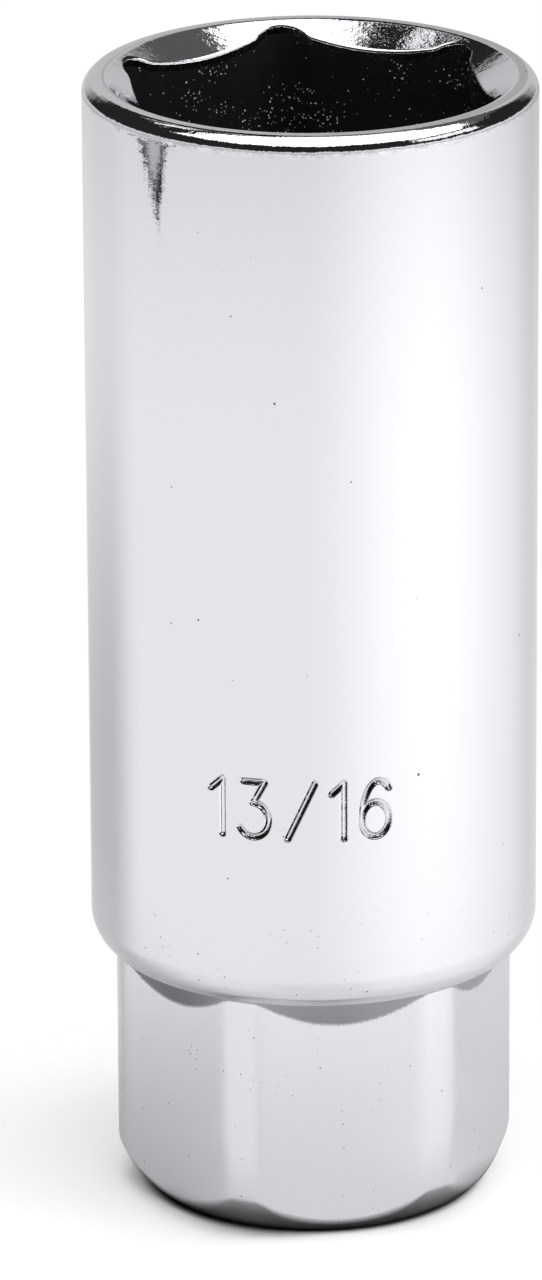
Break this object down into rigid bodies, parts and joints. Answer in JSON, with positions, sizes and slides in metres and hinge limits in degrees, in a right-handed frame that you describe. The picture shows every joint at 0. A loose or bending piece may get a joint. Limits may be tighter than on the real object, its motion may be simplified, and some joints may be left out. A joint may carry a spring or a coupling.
{
  "type": "spark plug socket",
  "caption": "Tubular spark plug socket in chrome-plated steel, with a hexagon mouth, a rubber insert that grips the plug, a wrench hexagon and a square drive hole.",
  "frame": {"origin": "centre of the drive end, on the surface that the socket stands on", "axes": "+Z along the socket's axis, from the drive end to the open end; two flats of the wrench hexagon face -Y and +Y"},
  "size_m": [0.0274, 0.0274, 0.071],
  "materials": {
    "plating": "polished chrome plating over turned steel",
    "insert_rubber": "moulded black rubber, satin"
  },
  "bodies": {
    "root": {"socket_body": "plating", "rubber_insert": "insert_rubber"}
  },
  "joints": []
}
